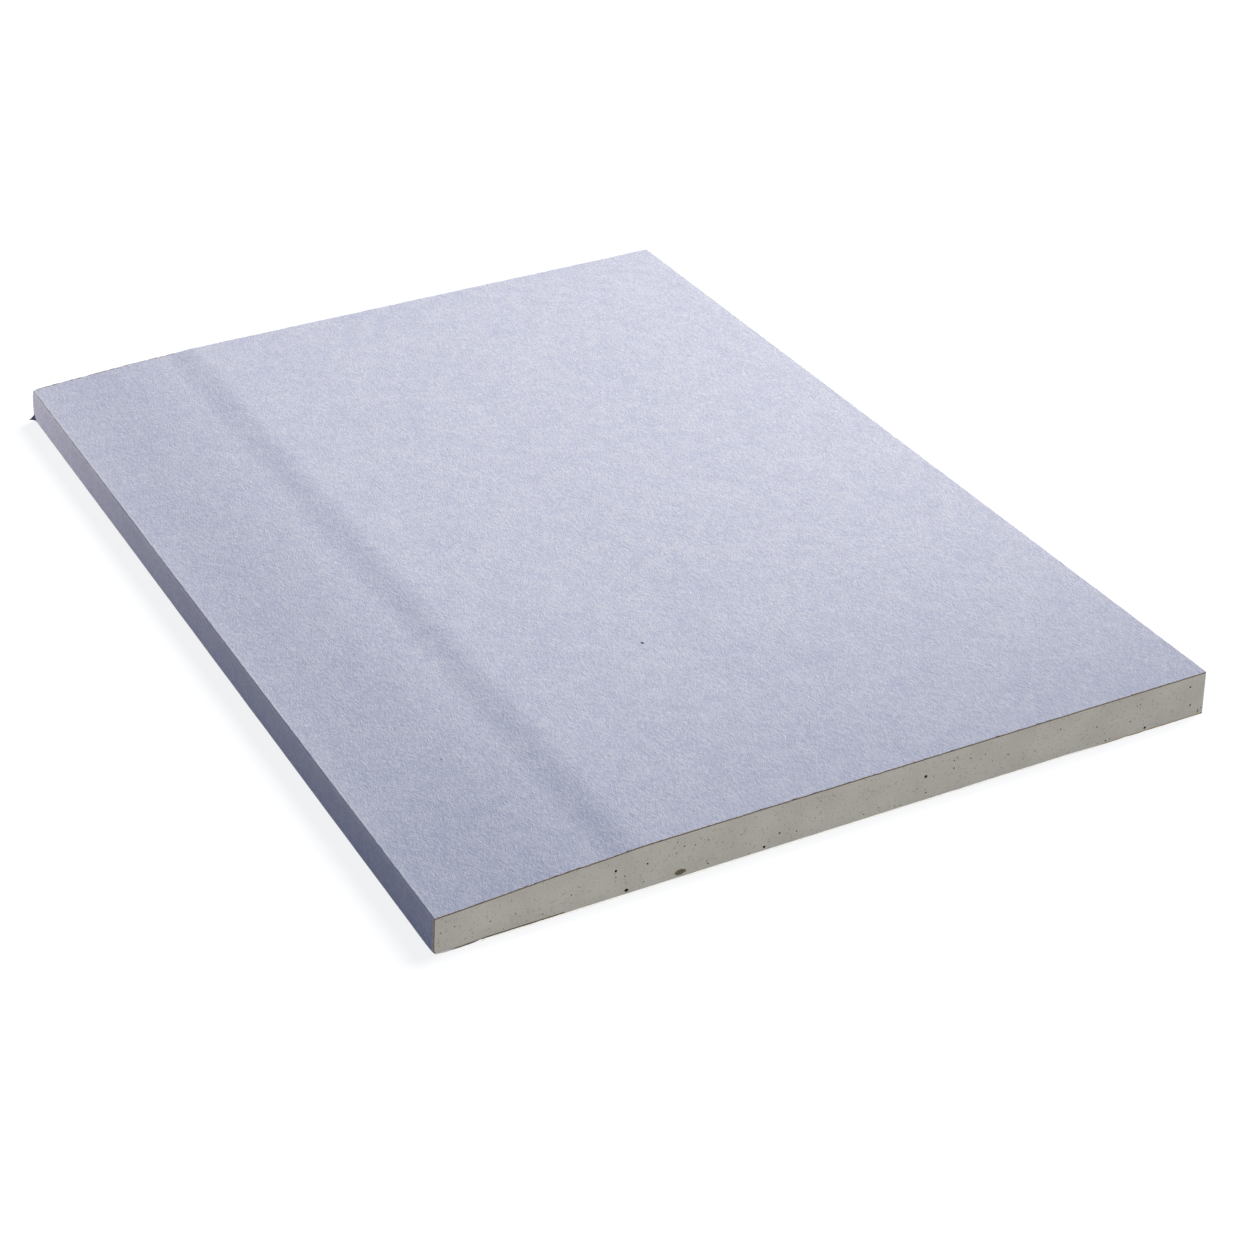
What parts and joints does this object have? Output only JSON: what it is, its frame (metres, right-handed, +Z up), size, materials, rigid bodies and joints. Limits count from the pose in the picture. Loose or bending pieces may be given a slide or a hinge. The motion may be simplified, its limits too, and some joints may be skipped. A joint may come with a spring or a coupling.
{
  "type": "drywall sheet",
  "caption": "Flat rectangular piece of gypsum drywall with a paper-wrapped tapered long edge and square cut ends, for lining walls and ceilings.",
  "frame": {"origin": "middle of the board's back, on the surface it lies on", "axes": "+X across the board from the tapered edge to the cut edge, +Y along the board, +Z up out of the face"},
  "size_m": [0.215, 0.31, 0.0125],
  "materials": {
    "gypsum": "dry matt gypsum with small air pores",
    "face_paper": "matt fibrous paper, pale blue-grey",
    "back_paper": "matt uncoated recycled paper, grey-brown"
  },
  "bodies": {
    "root": {"gypsum_core": "gypsum", "face_paper": "face_paper", "back_paper": "back_paper"}
  },
  "joints": []
}
